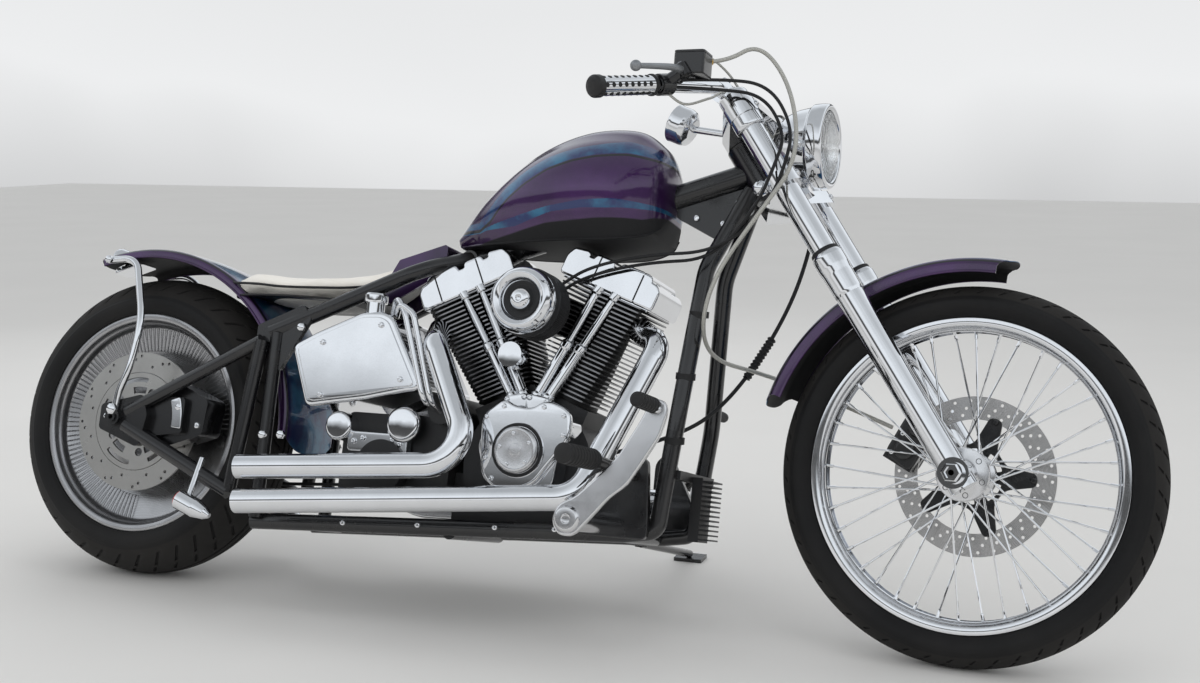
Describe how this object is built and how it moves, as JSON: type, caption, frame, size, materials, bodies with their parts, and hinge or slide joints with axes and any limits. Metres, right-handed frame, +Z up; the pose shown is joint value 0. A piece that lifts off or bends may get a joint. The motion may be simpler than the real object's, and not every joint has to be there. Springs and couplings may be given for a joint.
{
  "type": "chopper motorcycle",
  "caption": "Low custom motorcycle with a raked fork, a V engine, a solo seat, a teardrop tank and twin side pipes, parked leaning on its side stand.",
  "frame": {"origin": "on the floor under the middle of the parked motorcycle", "axes": "+X towards the front wheel, +Y towards the rider's left, the side it leans to, +Z up"},
  "size_m": [2.3601, 1.001, 1.0916],
  "materials": {
    "chrome": "mirror-bright plating",
    "polished_aluminium": "hand-polished",
    "purple_paint": "candy gloss with blue stripes",
    "black_frame": "gloss black",
    "black_engine": "satin black with bright fin edges",
    "grey_casting": "bare casting",
    "tyre": "worn satin",
    "black_rubber": "matt",
    "spoked_rim": "plated",
    "cast_wheel": "polished with a satin centre",
    "brake_steel": "machined",
    "white_leather": "smooth white with black piping",
    "lens_glass": "clear",
    "black_plastic": "satin",
    "braid": "clear sleeve over steel braid"
  },
  "bodies": {
    "chassis": {"drive_belt": "black_rubber", "frame_backbone": "black_frame", "frame_loop_left": "black_frame", "frame_loop_right": "black_frame", "frame_rear_left": "black_frame", "frame_rear_right": "black_frame", "frame_cross_tubes": "black_frame", "swingarm_left": "black_frame", "swingarm_right": "black_frame", "rear_axle": "chrome", "fuel_tank": "purple_paint", "side_cover": "purple_paint", "seat": "white_leather", "rear_fender": "purple_paint", "fender_struts": "chrome", "crankcase": "black_engine", "cylinder_front": "black_engine", "cylinder_rear": "black_engine", "rocker_box_front": "chrome", "rocker_box_rear": "chrome", "pushrod_tubes": "chrome", "cam_cover": "chrome", "primary_cover": "chrome", "gearbox": "grey_casting", "air_cleaner": "chrome", "carburettor": "grey_casting", "exhaust_pipe_front": "chrome", "exhaust_pipe_rear": "chrome", "oil_tank": "chrome", "oil_lines": "chrome", "right_controls": "polished_aluminium", "left_controls": "polished_aluminium", "regulator": "black_plastic", "oil_filter": "chrome", "rear_caliper": "black_plastic", "bullet_lamps": "chrome", "stand_bracket": "black_frame", "brake_hose": "braid", "clutch_cable": "black_rubber", "throttle_cables": "black_rubber"},
    "steering": {"lower_yoke": "chrome", "upper_yoke": "chrome", "fork_leg_left": "chrome", "fork_leg_right": "chrome", "handlebar": "chrome", "brake_lever": "black_plastic", "clutch_lever": "black_plastic", "headlight_shell": "chrome", "headlight_lens": "lens_glass", "speedometer": "chrome", "front_fender": "purple_paint", "front_caliper": "black_plastic", "front_axle": "chrome"},
    "front_wheel": {"front_tyre": "tyre", "front_wheel_rim": "spoked_rim", "front_brake_disc": "brake_steel"},
    "rear_wheel": {"rear_tyre": "tyre", "rear_wheel_disc": "cast_wheel", "rear_brake_disc": "brake_steel"},
    "side_stand": {"side_stand": "chrome"}
  },
  "joints": [
    {"name": "steering", "type": "hinge", "parent": "chassis", "child": "steering", "pos_m": [0.79954, -0.10238, 0.30351], "axis": [-0.5621, 0.2325, 0.7937], "range_deg": [-27.38, 36.62], "deforming": ["brake_hose", "clutch_cable", "throttle_cables"]},
    {"name": "front_wheel_spin", "type": "hinge", "parent": "steering", "child": "front_wheel", "pos_m": [0.84076, -0.09837, 0.33152], "axis": [0.0666, 0.9693, -0.2368], "continuous": true},
    {"name": "rear_wheel_spin", "type": "hinge", "parent": "chassis", "child": "rear_wheel", "pos_m": [-0.8641, -0.10134, 0.30708], "axis": [0, 0.9597, -0.2812], "continuous": true},
    {"name": "side_stand", "type": "hinge", "parent": "chassis", "child": "side_stand", "pos_m": [0.1819, 0.02685, 0.12573], "axis": [0, 0.2812, 0.9597], "range_deg": [0, 92]}
  ]
}
